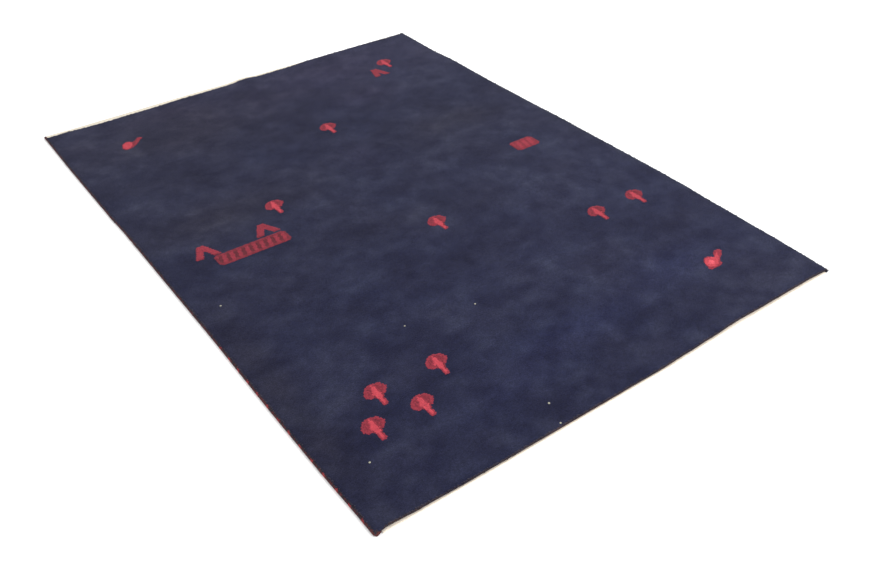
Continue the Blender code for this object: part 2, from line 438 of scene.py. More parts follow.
def field_dye_and_shade(x, y):
    """The navy of the field's wool, with its patches and its uneven bands, painted shade along the old
    fold, and painted sheen in some patches.
    """
    dye_and_shade = np.ones(x.shape + (3,)) * np.array(NAVY)
    for patch in PATCHES:
        away = ((x - patch.x) / patch.wide) ** 2 + ((y - patch.y) / patch.long) ** 2
        amount = patch.strength * np.exp(-PATCH_FADE * away)[..., None]
        dye_and_shade = dye_and_shade * (1 + amount * (np.array(patch.tint) - 1))
    uneven = np.zeros(x.shape)
    for noise in DYE_NOISES:
        uneven = uneven + noise.strength * soft_noise(x, y, noise.size_x, noise.size_y, noise.seed)
    # Painted shade along the old fold's crease
    across_crease = np.exp(-(((x - CREASE_X) / CREASE_HALF_WIDTH) ** 2))
    crease_shade = CREASE_SHADE_DEPTH * across_crease * smooth_step((y - CREASE_START_Y) / CREASE_RAMP)
    shade = np.exp((uneven - crease_shade)[..., None] * np.array(SHADE_REACH))
    hue = soft_noise(x, y, *HUE_SIZE, SEED + 7)[..., None]
    return dye_and_shade * shade * (1 + hue * np.array(HUE_REACH))


# Knotted motifs, in knots: from the lightest red to the deepest @, #, + and o, and the
# field as dots

TREE_CHART = (
    "......+++++......",
    "....++++#+++++...",
    "...+++o+#+oo+++..",
    "..++oo+###+oo++..",
    ".++++o+###+oo+++.",
    ".++o+o+###+oooo+.",
    "+++o++####+ooo+++",
    "++oo++####+o+o++.",
    "+++o+#####+oo+++.",
    "+++++#####+o+++..",
    ".+++++#####+++...",
    "..+++o####oo+....",
    ".....o####o......",
    "......####o......",
    "......+##o.......",
    "......+##o.......",
    "......+##+.......",
    "......+##+.......",
    "......+##+.......",
    "......+#++.......",
    "......+++........",
)
BIRD_CHART = (
    "....................++++..",
    "..................+++++++.",
    ".......++++......++++++++.",
    ".....+#####+....++##+++++.",
    "....+########..+###++++...",
    "...+##########+###++++....",
    "...####@@#########+++.....",
    "..####@@@@#######++.......",
    "..###@@@@@######+.........",
    ".+###@@@@@####++..........",
    ".+####@@@#####+...........",
    ".+##########++............",
    "+++########+++............",
    "+++++###++++++............",
    ".+++++++++++..............",
)
SMALL_BIRD_CHART = (
    "..................+++.",
    ".................+++++",
    "......+++.......++++++",
    "....+#####.....++++++.",
    "...+######+..++++++...",
    "..+########+++o+++....",
    "..#########++o++++....",
    ".+########++oo+++.....",
    ".+########+oo+++......",
    ".#########+oo++.......",
    "+#########oo++........",
    "+########+o++.........",
    "+#######++o+..........",
    ".+#####+++............",
    ".++###+++.............",
    "..+++++...............",
)

Motif = namedtuple("Motif", "kind x y brightness")

# The middle of each motif, in metres, and how bright its red is
MOTIFS = (
    Motif("tree", -0.507, -0.684, 0.96),
    Motif("tree", -0.569, -0.774, 0.94),
    Motif("tree", -0.440, -0.778, 0.97),
    Motif("tree", -0.335, -0.686, 0.95),
    Motif("tree", 0.015, -0.198, 0.89),
    Motif("tree", 0.414, -0.449, 0.82),
    Motif("tree", 0.565, -0.450, 0.83),
    Motif("tree", -0.318, 0.165, 0.93),
    Motif("tree", 0.066, 0.490, 0.86),
    Motif("tree", 0.509, 0.802, 0.86),
    Motif("left_tent", -0.589, 0.079, 0.60),
    Motif("right_tent", -0.403, 0.081, 0.55),
    Motif("far_tent", 0.439, 0.752, 0.50),
    Motif("long_fence", -0.471, 0.017, 0.58),
    Motif("short_fence", 0.511, 0.003, 0.63),
    Motif("bird", 0.513, -0.803, 0.94),
    Motif("small_bird", -0.507, 0.802, 0.87),
)

# Single knots of undyed wool: where each is, in metres
FLECKS = (
    (-0.324, -0.519),
    (-0.214, -0.940),
    (-0.232, -1.001),
    (-0.130, -0.556),
    (-0.634, -0.850),
    (-0.659, -0.173),
)

# How bright the red of each mark in the charts is
MARK_SHADES = {".": 0.0, "o": 0.44, "+": 0.61, "#": 0.98, "@": 1.30}

# Shades and knots of the fences and the tents
RAIL_SHADE = 0.64
RAIL_OVER_SLAT_SHADE = 0.82
SLAT_LEAN = 0.2
FENCE_END_KNOTS = 2
CUT_CORNER_KNOTS = 2
TENT_FOOT_SHADE = 0.8
TENT_FOOT_KNOTS = 2


def from_chart(chart):
    """A motif's knots as a grid from near to far: 0 for the field, or how bright the red is."""
    return np.array([[MARK_SHADES[mark] for mark in row] for row in reversed(chart)])


def fence(width, height, rail, slat_pitch, slat, hole_shade):
    """A long frame of rails and slanting slats with dark holes between them."""
    column, row = np.meshgrid(np.arange(width), np.arange(height))
    from_end = np.minimum(column, width - 1 - column)
    from_side = np.minimum(row, height - 1 - row)
    rails = from_side < rail
    slats = (column - SLAT_LEAN * row + slat_pitch / 2) % slat_pitch < slat
    ends = from_end < FENCE_END_KNOTS
    knots = np.where(rails | ends, RAIL_SHADE, np.where(slats, 1.0, hole_shade))
    knots = np.where(rails & slats, RAIL_OVER_SLAT_SHADE, knots)
    return np.where(from_end + from_side < CUT_CORNER_KNOTS, 0.0, knots)


def tent(width, height, leg):
    """Two thick legs that lean together at the top."""
    column, row = np.meshgrid(np.arange(width) - (width - 1) / 2, np.arange(height))
    spread = (width - leg) / 2 * (1 - row / (height - 1))
    legs = np.abs(np.abs(column) - spread) <= leg / 2
    shade = np.where(row < TENT_FOOT_KNOTS, TENT_FOOT_SHADE, 1.0)
    return np.where(legs, shade, 0.0)


MOTIF_KNOTS = {
    "tree": from_chart(TREE_CHART),
    "bird": from_chart(BIRD_CHART),
    "small_bird": from_chart(SMALL_BIRD_CHART),
    "left_tent": tent(20, 17, 5.6),
    "right_tent": tent(20, 16, 6.0),
    "far_tent": tent(17, 17, 6.0),
    "long_fence": fence(61, 15, 3, 6.35, 3.2, 0.42),
    "short_fence": fence(25, 16, 3, 6.2, 3.6, 0.74),
}


# Mesh and material helpers


def new_mesh(name, points, faces, dye_and_shade, material, extra_material=None, extra_faces=None):
    """A piece from points and faces with a colour on each point, which rides on the rug; the colours
    carry painted shade and sheen in places.
    """
    mesh = bpy.data.meshes.new(name)
    mesh.from_pydata(points.tolist(), [], faces)
    mesh.materials.append(material)
    if extra_material:
        mesh.materials.append(extra_material)
        mesh.polygons.foreach_set("material_index", extra_faces.astype(np.int32))
    colours = np.ones((len(points), 4), np.float32)
    colours[:, :3] = dye_and_shade
    attribute = mesh.color_attributes.new("dye_and_shade", "FLOAT_COLOR", "POINT")
    attribute.data.foreach_set("color", colours.ravel())
    mesh.shade_smooth()
    mesh.update()
    piece = bpy.data.objects.new(name, mesh)
    bpy.context.collection.objects.link(piece)
    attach(piece, "root")
    return piece


def grid_faces(rows, columns, start=0, flipped=False, wrap=False):
    """Four-sided faces between neighbouring rows of points."""
    faces = []
    last = columns if wrap else columns - 1
    for i in range(rows - 1):
        for j in range(last):
            a = start + i * columns + j
            b = start + i * columns + (j + 1) % columns
            face = (a, b, b + columns, a + columns)
            faces.append(face[::-1] if flipped else face)
    return faces


def closed_sheet(name, top, under, dye_and_shade, under_dye_and_shade, material, under_material=None):
    """A closed sheet between two grids of points."""
    rows, columns = top.shape[:2]
    count = rows * columns
    points = np.concatenate((top.reshape(-1, 3), under.reshape(-1, 3)))
    base_colours = np.concatenate((dye_and_shade.reshape(-1, 3), under_dye_and_shade.reshape(-1, 3)))
    faces = grid_faces(rows, columns) + grid_faces(rows, columns, count, flipped=True)
    index = np.arange(count).reshape(rows, columns)
    ring = np.concatenate((index[0, :-1], index[:-1, -1], index[-1, :0:-1], index[:0:-1, 0])).tolist()
    for a, b in zip(ring, ring[1:] + ring[:1]):
        faces.append((a, a + count, b + count, b))
    under_faces = np.zeros(len(faces), bool)
    if under_material:
        grid_count = (rows - 1) * (columns - 1)
        under_faces[grid_count : 2 * grid_count] = True
    return new_mesh(name, points, faces, base_colours, material, under_material, under_faces)


class Tree:
    """Builds a material's nodes."""

    def __init__(self, name):
        self.material = bpy.data.materials.new(name)
        self.material.use_nodes = True
        self.nodes = self.material.node_tree.nodes
        self.links = self.material.node_tree.links
        self.shader = self.nodes["Principled BSDF"]

    def add(self, kind, settings=None, **inputs):
        """A node with its settings, and its inputs as values or as other nodes' outputs."""
        node = self.nodes.new("ShaderNode" + kind)
        for key, value in (settings or {}).items():
            setattr(node, key, value)
        for key, value in inputs.items():
            socket = node.inputs[int(key[1:])] if key[1:].isdigit() else node.inputs[key]
            self.put(socket, value)
        return node

    def put(self, socket, value):
        """Sets a socket to a value, or links another node's output to it."""
        if isinstance(value, bpy.types.NodeSocket):
            self.links.new(value, socket)
        else:
            socket.default_value = value

    def math(self, operation, a, b=0.0):
        """One sum of two values."""
        return self.add("Math", {"operation": operation}, _0=a, _1=b).outputs[0]

    def spread(self, value, low, high):
        """A value from 0 to 1 taken to another range."""
        return self.add("MapRange", None, Value=value, _3=low, _4=high).outputs[0]

    def times(self, colour, value):
        """A colour made lighter or darker by a value."""
        return self.add("VectorMath", {"operation": "SCALE"}, _0=colour, Scale=value).outputs[0]

    def noise(self, where, scale, detail=2.0):
        """Soft noise from 0 to 1."""
        return self.add("TexNoise", None, Vector=where, Scale=scale, Detail=detail).outputs["Fac"]

    def stir(self, where, scale, reach):
        """Places moved about a little, so that what is drawn there is less regular."""
        away = self.add("TexNoise", None, Vector=where, Scale=scale, Detail=1.0).outputs["Color"]
        away = self.add("VectorMath", {"operation": "SUBTRACT"}, _0=away, _1=(0.5, 0.5, 0.5)).outputs[0]
        return self.add(
            "VectorMath", {"operation": "MULTIPLY_ADD"}, _0=away, _1=(reach, reach, reach), _2=where
        ).outputs[0]


# Scales of the wool's noise, in lumps for each metre, and how far tufts stray in metres
STIR_SCALE = 330.0
STIR_REACH = 0.0030
PILE_FIBRE_SCALE = 900.0
CLUMP_SCALE = 75.0
WEAR_SCALE = 160.0
BACK_FIBRE_SCALE = 1200.0
WOOL_SHEEN_TINT = (0.60, 0.62, 0.85, 1.0)

# Share of each row of knot loops that the weft beside it covers
WEFT_SHARE = 0.22


def pile_material(name, sheen):
    """Cut wool pile: soft tufts of fine fibres, each a little lighter or darker than the next, with
    painted shade in the gaps between them.
    """
    tree = Tree(name)
    where = tree.add("TexCoord").outputs["Object"]
    dye_and_shade = tree.add("VertexColor", {"layer_name": "dye_and_shade"}).outputs["Color"]
    stirred = tree.stir(where, STIR_SCALE, STIR_REACH)
    tufts = tree.add(
        "TexVoronoi", {"feature": "SMOOTH_F1"}, Vector=stirred, Scale=1 / KNOT, Smoothness=0.30
    )
    each = tree.add("SeparateColor", None, Color=tufts.outputs["Color"]).outputs[0]
    gap = tree.math("MINIMUM", tufts.outputs["Distance"], 1.0)
    fibres = tree.noise(where, PILE_FIBRE_SCALE, 6.0)
    clumps = tree.noise(where, CLUMP_SCALE, 3.0)
    # Painted shade: darker in the gaps between tufts
    shade = tree.math("MULTIPLY", tree.spread(each, 0.84, 1.16), tree.spread(gap, 1.14, 0.74))
    shade = tree.math("MULTIPLY", shade, tree.spread(fibres, 0.35, 1.65))
    shade = tree.math("MULTIPLY", shade, tree.spread(clumps, 0.72, 1.28))
    tree.put(tree.shader.inputs["Base Color"], tree.times(dye_and_shade, shade))
    height = tree.math("SUBTRACT", tree.math("MULTIPLY", fibres, 1.1), tree.math("MULTIPLY", gap, 0.45))
    bump = tree.add("Bump", None, Strength=0.7, Distance=0.0016, Height=height)
    tree.put(tree.shader.inputs["Normal"], bump.outputs["Normal"])
    tree.shader.inputs["Roughness"].default_value = 0.95
    tree.shader.inputs["Specular IOR Level"].default_value = 0.10
    tree.shader.inputs["Sheen Weight"].default_value = sheen
    tree.shader.inputs["Sheen Roughness"].default_value = 0.45
    tree.shader.inputs["Sheen Tint"].default_value = WOOL_SHEEN_TINT
    return tree.material


def yarn_material(name, fibre_scale, sheen):
    """Spun wool yarn: the colour of each yarn, which carries painted shade in places, with fine fibres
    over it.
    """
    tree = Tree(name)
    where = tree.add("TexCoord").outputs["Object"]
    dye_and_shade = tree.add("VertexColor", {"layer_name": "dye_and_shade"}).outputs["Color"]
    fibres = tree.noise(where, fibre_scale, 4.0)
    wear = tree.noise(where, WEAR_SCALE, 2.0)
    shade = tree.math("MULTIPLY", tree.spread(fibres, 0.50, 1.50), tree.spread(wear, 0.82, 1.18))
    tree.put(tree.shader.inputs["Base Color"], tree.times(dye_and_shade, shade))
    bump = tree.add("Bump", None, Strength=0.7, Distance=0.0008, Height=fibres)
    tree.put(tree.shader.inputs["Normal"], bump.outputs["Normal"])
    tree.shader.inputs["Roughness"].default_value = 0.9
    tree.shader.inputs["Specular IOR Level"].default_value = 0.2
    tree.shader.inputs["Sheen Weight"].default_value = sheen
    tree.shader.inputs["Sheen Roughness"].default_value = 0.5
    return tree.material


def back_material(name):
    """The rug's back: rows of flat knot loops with red wefts between them."""
    tree = Tree(name)
    where = tree.add("TexCoord").outputs["Object"]
    dye_and_shade = tree.add("VertexColor", {"layer_name": "dye_and_shade"}).outputs["Color"]
    x, y, _ = tree.add("SeparateXYZ", None, Vector=where).outputs
    across = tree.math("ABSOLUTE", tree.math("SINE", tree.math("MULTIPLY", x, math.pi / WARP_PITCH)))
    along = tree.math("ABSOLUTE", tree.math("SINE", tree.math("MULTIPLY", y, math.pi / KNOT)))
    loops = tree.math("MULTIPLY", tree.math("POWER", across, 0.5), tree.math("POWER", along, 0.5))
    fibres = tree.noise(where, BACK_FIBRE_SCALE, 3.0)
    weft_shows = tree.math("LESS_THAN", along, WEFT_SHARE)
    mix = tree.add("Mix", {"data_type": "RGBA"}, Factor=weft_shows, A=dye_and_shade, B=(*WEFT_RED, 1.0))
    # Painted shade: darker where the loops dip between each other
    shade = tree.math("MULTIPLY", tree.spread(loops, 0.45, 1.15), tree.spread(fibres, 0.75, 1.25))
    tree.put(tree.shader.inputs["Base Color"], tree.times(mix.outputs[2], shade))
    bump = tree.add("Bump", None, Strength=0.8, Distance=0.0008, Height=loops)
    tree.put(tree.shader.inputs["Normal"], bump.outputs["Normal"])
    tree.shader.inputs["Roughness"].default_value = 0.95
    tree.shader.inputs["Specular IOR Level"].default_value = 0.15
    return tree.material


# Pieces


BACK_SHADE = 1.2


def rim_lines(half):
    """Places of mesh lines from edge to edge, closer together in the rolled rim."""
    rim = half - RIM_ROLL * np.array(RIM_STEPS)
    count = round(2 * (half - RIM_ROLL) / PILE_MESH_PITCH)
    inner = np.linspace(-half + RIM_ROLL, half - RIM_ROLL, count + 1)
    return np.concatenate((-rim, inner, rim[::-1]))


def make_pile(pile, back):
    """The knotted field: pile on top and at the sides, knot loops underneath."""
    x, y = np.meshgrid(rim_lines(FIELD_HALF_WIDTH), rim_lines(FIELD_HALF_LENGTH))
    top = lay(*lean_out(x, y), pile_height(x, y))
    under = lay(x, y, UNDERSIDE_CLEARANCE)
    dye_and_shade = field_dye_and_shade(x, y)
    return closed_sheet("pile", top, under, dye_and_shade, dye_and_shade * BACK_SHADE, pile, back)


# A ring of points around a tuft: how far from its root to its tip, its share of the tuft's width,
# and how light it is painted. The tufts are painted darker at the root and lighter at the tip:
# painted shade where they stand among the other tufts, and painted light on their tips.
TuftRing = namedtuple("TuftRing", "share wide shade")

ROOT_WIDE = 0.80
TUFT_RINGS = (
    TuftRing(0.62, 1.0, 0.92),
    TuftRing(0.88, 0.84, 1.0),
)
DOME_RING = TuftRing(0.975, 0.50, 1.03)
TIP_PAINTED_LIGHT = 1.04


def make_tufts(name, roots, tips, width, base_colours, material, seed, root_painted_shade, sides=5):
    """Tufts of cut yarn, rounded at their ends, from roots to tips, painted darker at the roots as
    painted shade.
    """
    rings = (TuftRing(0.0, ROOT_WIDE, root_painted_shade), *TUFT_RINGS)
    if sides > 4:
        rings += (DOME_RING,)
    rng = np.random.default_rng(seed)
    turn = rng.uniform(0, 2 * np.pi / sides, len(roots))
    points = []
    shades = []
    for ring in rings:
        middle = roots + ring.share * (tips - roots)
        for k in range(sides):
            angle = turn + 2 * np.pi * k / sides
            out = np.stack((np.cos(angle), np.sin(angle), np.zeros(len(roots))), axis=-1)
            points.append(middle + out * (width * ring.wide / 2)[:, None])
            shades.append(base_colours * ring.shade)
    points.append(tips)
    shades.append(base_colours * TIP_PAINTED_LIGHT)
    per_tuft = len(points)
    points = np.stack(points, axis=1).reshape(-1, 3)
    shades = np.stack(shades, axis=1).reshape(-1, 3)
    one = grid_faces(len(rings), sides, wrap=True)
    last = sides * (len(rings) - 1)
    one += [(last + k, last + (k + 1) % sides, per_tuft - 1) for k in range(sides)]
    starts = range(0, len(points), per_tuft)
    faces = [tuple(i + start for i in face) for start in starts for face in one]
    return new_mesh(name, points, faces, shades, material)


# A row of tufts along the field's edge: how far inside it they are rooted, how far out
# their tips lean and how high these stand, in metres, and how they differ from the field
TuftRow = namedtuple("TuftRow", "inset lean rise tint")

# Browner and darker: painted shade on the pile's side along the left and far edges
SHADED_EDGE_BROWN = (0.85, 0.76, 0.60)
WARMER = (1.25, 0.95, 0.85)
RUSTY = (1.35, 0.95, 0.72)
REDDENED = (2.60, 1.35, 0.62)

LEFT_ROWS = (
    TuftRow(0.0016, 0.0052, 0.0108, WARMER),
    TuftRow(0.0004, 0.0060, 0.0092, SHADED_EDGE_BROWN),
)
# The right edge's tufts are painted lighter and greyer: painted sheen
RIGHT_ROWS = (
    TuftRow(0.0016, 0.0052, 0.0108, PAINTED_SHEEN_GREY),
    TuftRow(0.0004, 0.0060, 0.0092, PAINTED_SHEEN_GREY),
)
NEAR_ROWS = (
    TuftRow(0.0020, 0.0032, 0.0116, RUSTY),
    TuftRow(0.0006, 0.0030, 0.0098, REDDENED),
)
FAR_ROWS = (
    TuftRow(0.0020, 0.0044, 0.0118, SHADED_EDGE_BROWN),
    TuftRow(0.0006, 0.0044, 0.0102, SHADED_EDGE_BROWN),
)


# How far the edge tufts stray from even rows, in metres
ALONG_SCATTER = 0.0006
INSET_SCATTER = 0.0004
LEAN_SCATTER = 0.0007
TIP_SCATTER = 0.0009
RISE_SCATTER = 0.0006
EDGE_ROOT_HEIGHT = (0.0045, 0.0060)
EDGE_TUFT_WIDTH = (0.0046, 0.0056)
EDGE_TUFT_SHADE = (0.8, 1.2)
# Painted shade at the roots of the edge tufts
EDGE_ROOT_PAINTED_SHADE = 0.85

# Near a corner the tufts also lean along their edge, and more so at the near corners
SPILL_SPAN = 0.008
NEAR_SPILL = 1.8


def edge_tufts(side, half_here, half_along, tuft_row, rng):
    """Roots and tips of one row of tufts along one edge."""
    count = int(2 * half_along / KNOT)
    along = np.linspace(-half_along, half_along, count) + rng.normal(0, ALONG_SCATTER, count)
    along = np.clip(along, -half_along, half_along)
    near_corner = (np.abs(along) - half_along + SPILL_SPAN) / SPILL_SPAN
    spill = np.clip(near_corner, 0.0, 1.0) * np.sign(along)
    if side[0]:
        spill = spill * np.where(along < 0, NEAR_SPILL, 1.0)
    inner = half_here - tuft_row.inset + rng.normal(0, INSET_SCATTER, count)
    outer = inner + tuft_row.lean + rng.normal(0, LEAN_SCATTER, count)
    if side[1]:
        outer = outer + corner_lean(along, side[1])
    tip_along = along + rng.normal(0, TIP_SCATTER, count) + spill * tuft_row.lean
    low = rng.uniform(*EDGE_ROOT_HEIGHT, count)
    high = tuft_row.rise + rng.normal(0, RISE_SCATTER, count)
    if side[0]:
        return lay(side[0] * inner, along, low), lay(side[0] * outer, tip_along, high)
    return lay(along, side[1] * inner, low), lay(tip_along, side[1] * outer, high)


def make_rim_tufts(material):
    """The outermost knots, whose pile leans out over the side cords and the end weaves."""
    rng = np.random.default_rng(SEED + 10)
    roots = []
    tips = []
    tints = []
    for side, tuft_rows in (
        ((-1, 0), LEFT_ROWS),
        ((1, 0), RIGHT_ROWS),
        ((0, -1), NEAR_ROWS),
        ((0, 1), FAR_ROWS),
    ):
        half_here, half_along = FIELD_HALF_WIDTH, FIELD_HALF_LENGTH
        if side[1]:
            half_here, half_along = half_along, half_here
        for tuft_row in tuft_rows:
            row_roots, row_tips = edge_tufts(side, half_here, half_along, tuft_row, rng)
            roots.append(row_roots)
            tips.append(row_tips)
            tints.append(np.tile(tuft_row.tint, (len(row_roots), 1)))
    roots = np.concatenate(roots)
    tips = np.concatenate(tips)
    base_colours = field_dye_and_shade(roots[:, 0] - FIELD_CENTRE_X, roots[:, 1] - FIELD_CENTRE_Y)
    base_colours = base_colours * np.concatenate(tints) * rng.uniform(*EDGE_TUFT_SHADE, (len(roots), 1))
    widths = rng.uniform(*EDGE_TUFT_WIDTH, len(roots))
    return make_tufts("rim_tufts", roots, tips, widths, base_colours, material, SEED + 9, EDGE_ROOT_PAINTED_SHADE)


# The motifs' tufts, in metres, and how much one knot differs from the next
MOTIF_RISE = (0.0004, 0.0009)
MOTIF_TUFT_LENGTH = 0.0032
MOTIF_TUFT_WIDTH = (0.0060, 0.0068)
MOTIF_ROOT_SCATTER = 0.0003
MOTIF_TIP_SCATTER = 0.0004
MOTIF_TIP_LEAN = 0.0006
MOTIF_SHADE = (0.90, 1.08)
# Painted shade at the roots of the motif tufts
MOTIF_ROOT_PAINTED_SHADE = 0.9

# The shades that the reds from maroon to pale red stand for
RED_SHADES = (0.12, 0.55, 1.0, 1.25)

# The motifs' knots on the back
LOOP_TOP = 0.0010
LOOP_BOTTOM = 0.0001
LOOP_WIDTH = (0.0042, 0.0048)
LOOP_SHADE = (0.7, 1.0)
# Painted shade where the loops meet the rug
LOOP_ROOT_PAINTED_SHADE = 0.8


def motif_knots():
    """Every knot of the motifs: its place on the plain rectangle and how bright a red it is."""
    places = []
    for motif in MOTIFS:
        knots = MOTIF_KNOTS[motif.kind]
        row, column = np.nonzero(knots)
        x = motif.x + (column - (knots.shape[1] - 1) / 2) * KNOT
        y = motif.y + (row - (knots.shape[0] - 1) / 2) * KNOT
        shade = knots[row, column] * motif.brightness
        places.append(np.stack((x, y, shade), axis=-1))
    return np.concatenate(places)


def make_motifs(material):
    """The red knots of the motifs and the few undyed ones, standing in the pile."""
    rng = np.random.default_rng(SEED + 21)
    knots = motif_knots()
    shade = knots[:, 2] * rng.uniform(*MOTIF_SHADE, len(knots))
    reds = np.array((MAROON, DEEP_RED, BRIGHT_RED, PALE_RED))
    base_colours = np.stack([np.interp(shade, RED_SHADES, band) for band in reds.T], axis=-1)
    base_colours = np.concatenate((base_colours, np.tile(FLECK, (len(FLECKS), 1))))
    places = np.concatenate((knots[:, :2], FLECKS))
    count = len(places)
    x = places[:, 0] + rng.normal(0, MOTIF_ROOT_SCATTER, count)
    y = places[:, 1] + rng.normal(0, MOTIF_ROOT_SCATTER, count)
    top = pile_height(x, y) + rng.uniform(*MOTIF_RISE, count)
    roots = lay(x, y, top - MOTIF_TUFT_LENGTH)
    tip_x = x + rng.normal(0, MOTIF_TIP_SCATTER, count)
    tip_y = y - MOTIF_TIP_LEAN + rng.normal(0, MOTIF_TIP_SCATTER, count)
    tips = lay(tip_x, tip_y, top)
    widths = rng.uniform(*MOTIF_TUFT_WIDTH, count)
    return make_tufts("motifs", roots, tips, widths, base_colours, material, SEED + 6, MOTIF_ROOT_PAINTED_SHADE)


def make_motif_loops(material):
    """The motifs' knots as they show on the rug's back, the other way round."""
    rng = np.random.default_rng(SEED + 22)
    knots = motif_knots()
    x, y, shade = knots.T
    base_colours = shade[:, None] * rng.uniform(*LOOP_SHADE, (len(knots), 1)) * DEEP_RED
    roots = lay(x, y, LOOP_TOP)
    tips = lay(x, y, LOOP_BOTTOM)
    widths = rng.uniform(*LOOP_WIDTH, len(knots))
    return make_tufts("motif_loops", roots, tips, widths, base_colours, material, SEED + 11, LOOP_ROOT_PAINTED_SHADE, 4)


# How a cord's wrapping yarn bulges between its turns, and slants around the cord, and how dark the
# grooves between turns are painted, as painted shade
CORD_SIDES = 14
RINGS_PER_WRAP = 4
WRAP_SLANT = 0.35
WRAP_BULGE = 0.10
CORD_CROWN = 1.04
GROOVE_PAINTED_SHADE = 0.55

# Dyes of the wraps, and where the left cord's red ones are: from which turn on, how many
# of how many turns, and up to which share of the cord's length
LEFT_DARK_WRAP = linear(50, 31, 37)
LEFT_DEEP_WRAP = linear(80, 38, 41)
LEFT_BRIGHT_WRAP = linear(138, 49, 52)
LEFT_KNOB_WRAP = linear(86, 44, 44)
RIGHT_DARK_WRAP = linear(34, 32, 42)
DEEP_WRAP_SHARE = 0.55
FIRST_DASH = 11
DASH_PITCH = 14
DASH_TURNS = 3
DASHED_SHARE = 0.35
KNOB_TURNS = 5


def cord_widths(y, near_end, far_end):
    """How much wider and how full a side cord is at places along it."""
    past = [-FIELD_HALF_LENGTH - MM * step.past for step in reversed(near_end)]
    past += [FIELD_HALF_LENGTH + MM * step.past for step in far_end]
    steps = list(reversed(near_end)) + list(far_end)
    wider = np.interp(y, past, [MM * step.wider for step in steps])
    full = np.interp(y, past, [step.full for step in steps])
    return past[0], past[-1], wider, full


def make_cord(name, side, near_end, far_end, wrap_dyes, material):
    """An overcast side cord: a round bundle wrapped with yarn, turn by turn."""
    start, stop, _, _ = cord_widths(np.zeros(1), near_end, far_end)
    wraps = int((stop - start) / WRAP_PITCH)
    y = np.linspace(start, stop, wraps * RINGS_PER_WRAP + 1)
    _, _, wider, full = cord_widths(y, near_end, far_end)
    angle = 2 * np.pi * (np.arange(CORD_SIDES) + 0.5) / CORD_SIDES
    turn = (y[:, None] - start) / WRAP_PITCH + WRAP_SLANT * np.cos(angle)[None, :]
    across_wrap = np.sqrt(np.abs(np.sin(np.pi * (turn % 1.0))))
    bulge = 1 - WRAP_BULGE + WRAP_BULGE * across_wrap
    width = (CORD_WIDTH + wider) * full
    height = CORD_HEIGHT * full
    middle = side * (RUG_WIDTH / 2 - (CORD_WIDTH + wider) / 2)
    x = middle[:, None] + side * np.cos(angle) * bulge * width[:, None] / 2
    rise = (1 + CORD_CROWN * np.sin(angle) * bulge) / 2 * height[:, None]
    points = lay(x, y[:, None] + 0 * x, np.maximum(rise, 0.0))
    wrap = np.clip(turn.astype(int), 0, wraps)
    # Painted shade: darker in the grooves between turns
    shade = GROOVE_PAINTED_SHADE + (1 - GROOVE_PAINTED_SHADE) * across_wrap
    dye_and_shade = wrap_dyes(wraps + 1)[wrap] * shade[..., None]
    rows = len(y)
    faces = grid_faces(rows, CORD_SIDES, wrap=True, flipped=side > 0)
    near_cap = tuple(range(CORD_SIDES))
    far_cap = tuple(range((rows - 1) * CORD_SIDES, rows * CORD_SIDES))
    faces.append(near_cap[::-1] if side < 0 else near_cap)
    faces.append(far_cap if side < 0 else far_cap[::-1])
    return new_mesh(name, points.reshape(-1, 3), faces, dye_and_shade.reshape(-1, 3), material)


def left_wraps(count):
    """Dark turns with red ones between them, as a worn two-yarn overcasting."""
    rng = np.random.default_rng(SEED + 30)
    turn = np.arange(count)
    deep = rng.uniform(size=count) < DEEP_WRAP_SHARE
    dashed = (turn >= FIRST_DASH) & (turn < DASHED_SHARE * count)
    dash = dashed & ((turn - FIRST_DASH) % DASH_PITCH < DASH_TURNS)
    base_colours = np.where(deep[:, None], LEFT_DEEP_WRAP, LEFT_DARK_WRAP)
    base_colours = np.where(dash[:, None], LEFT_BRIGHT_WRAP, base_colours)
    base_colours[:KNOB_TURNS] = LEFT_KNOB_WRAP
    return base_colours * rng.uniform(0.85, 1.15, (count, 1))


def right_wraps(count):
    """Dark turns all along."""
    rng = np.random.default_rng(SEED + 31)
    return np.array(RIGHT_DARK_WRAP) * rng.uniform(0.75, 1.25, (count, 1))


# The flat weave's relief and its worn outer edge, in metres, how its dye varies from pick to pick, and
# how much darker it is painted where threads dip, as painted shade
THREAD_RELIEF = 0.00022
THREAD_SCATTER = 0.00005
STRIP_TOP_CLEARANCE = 0.0003
STRIP_UNDERSIDE = 0.0002
EDGE_ROUND = 0.0010
EDGE_ROUND_SHARE = 0.15
WEFT_SHADE = (0.90, 1.06)
THREAD_PAINTED_SHADE = 0.05

# Where red weft shows beside the pile of the near end
RED_WEFT_X = -0.14
RED_WEFT_REACH = 0.17
RED_WEFT_PICKS = 1.5


